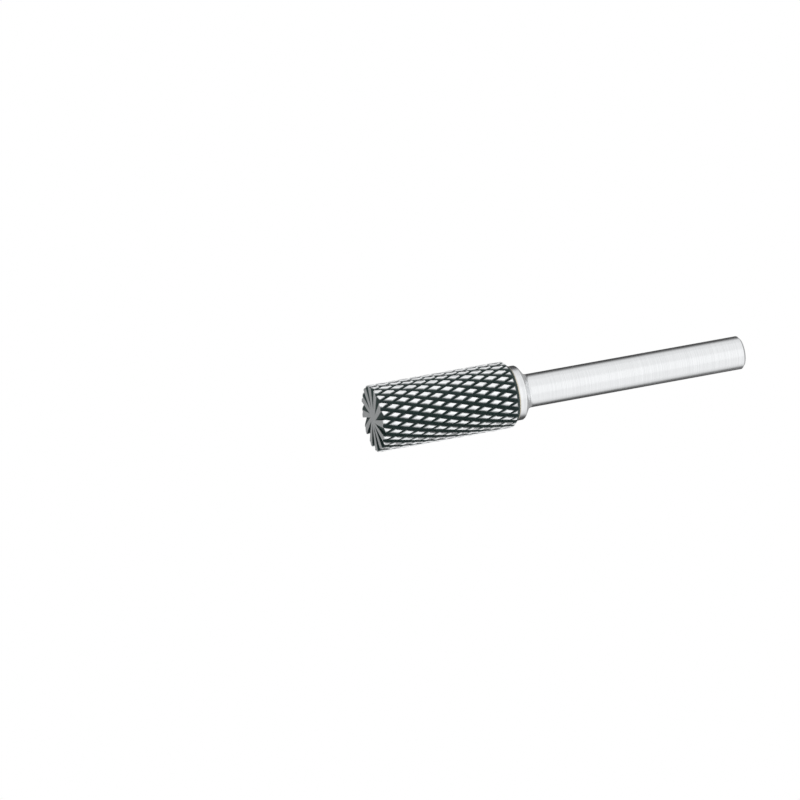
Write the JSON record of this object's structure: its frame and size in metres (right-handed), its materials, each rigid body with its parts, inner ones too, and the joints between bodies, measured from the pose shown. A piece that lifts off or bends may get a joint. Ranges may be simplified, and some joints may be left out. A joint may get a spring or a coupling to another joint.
{
  "type": "carbide burr",
  "caption": "Cylindrical rotary burr: a double-cut carbide head with teeth on its side and end face, brazed to a plain round steel shank.",
  "frame": {"origin": "centre of the head's front face, in the plane of the end teeth's edges, on which the burr stands", "axes": "+Z along the axis, from the head towards the shank's free end"},
  "size_m": [0.012, 0.012, 0.07],
  "materials": {
    "carbide": "bright ground",
    "braze": "satin",
    "steel": "fine ground"
  },
  "bodies": {
    "root": {"carbide_head": "carbide", "silver_braze": "braze", "steel_shank": "steel"}
  },
  "joints": []
}
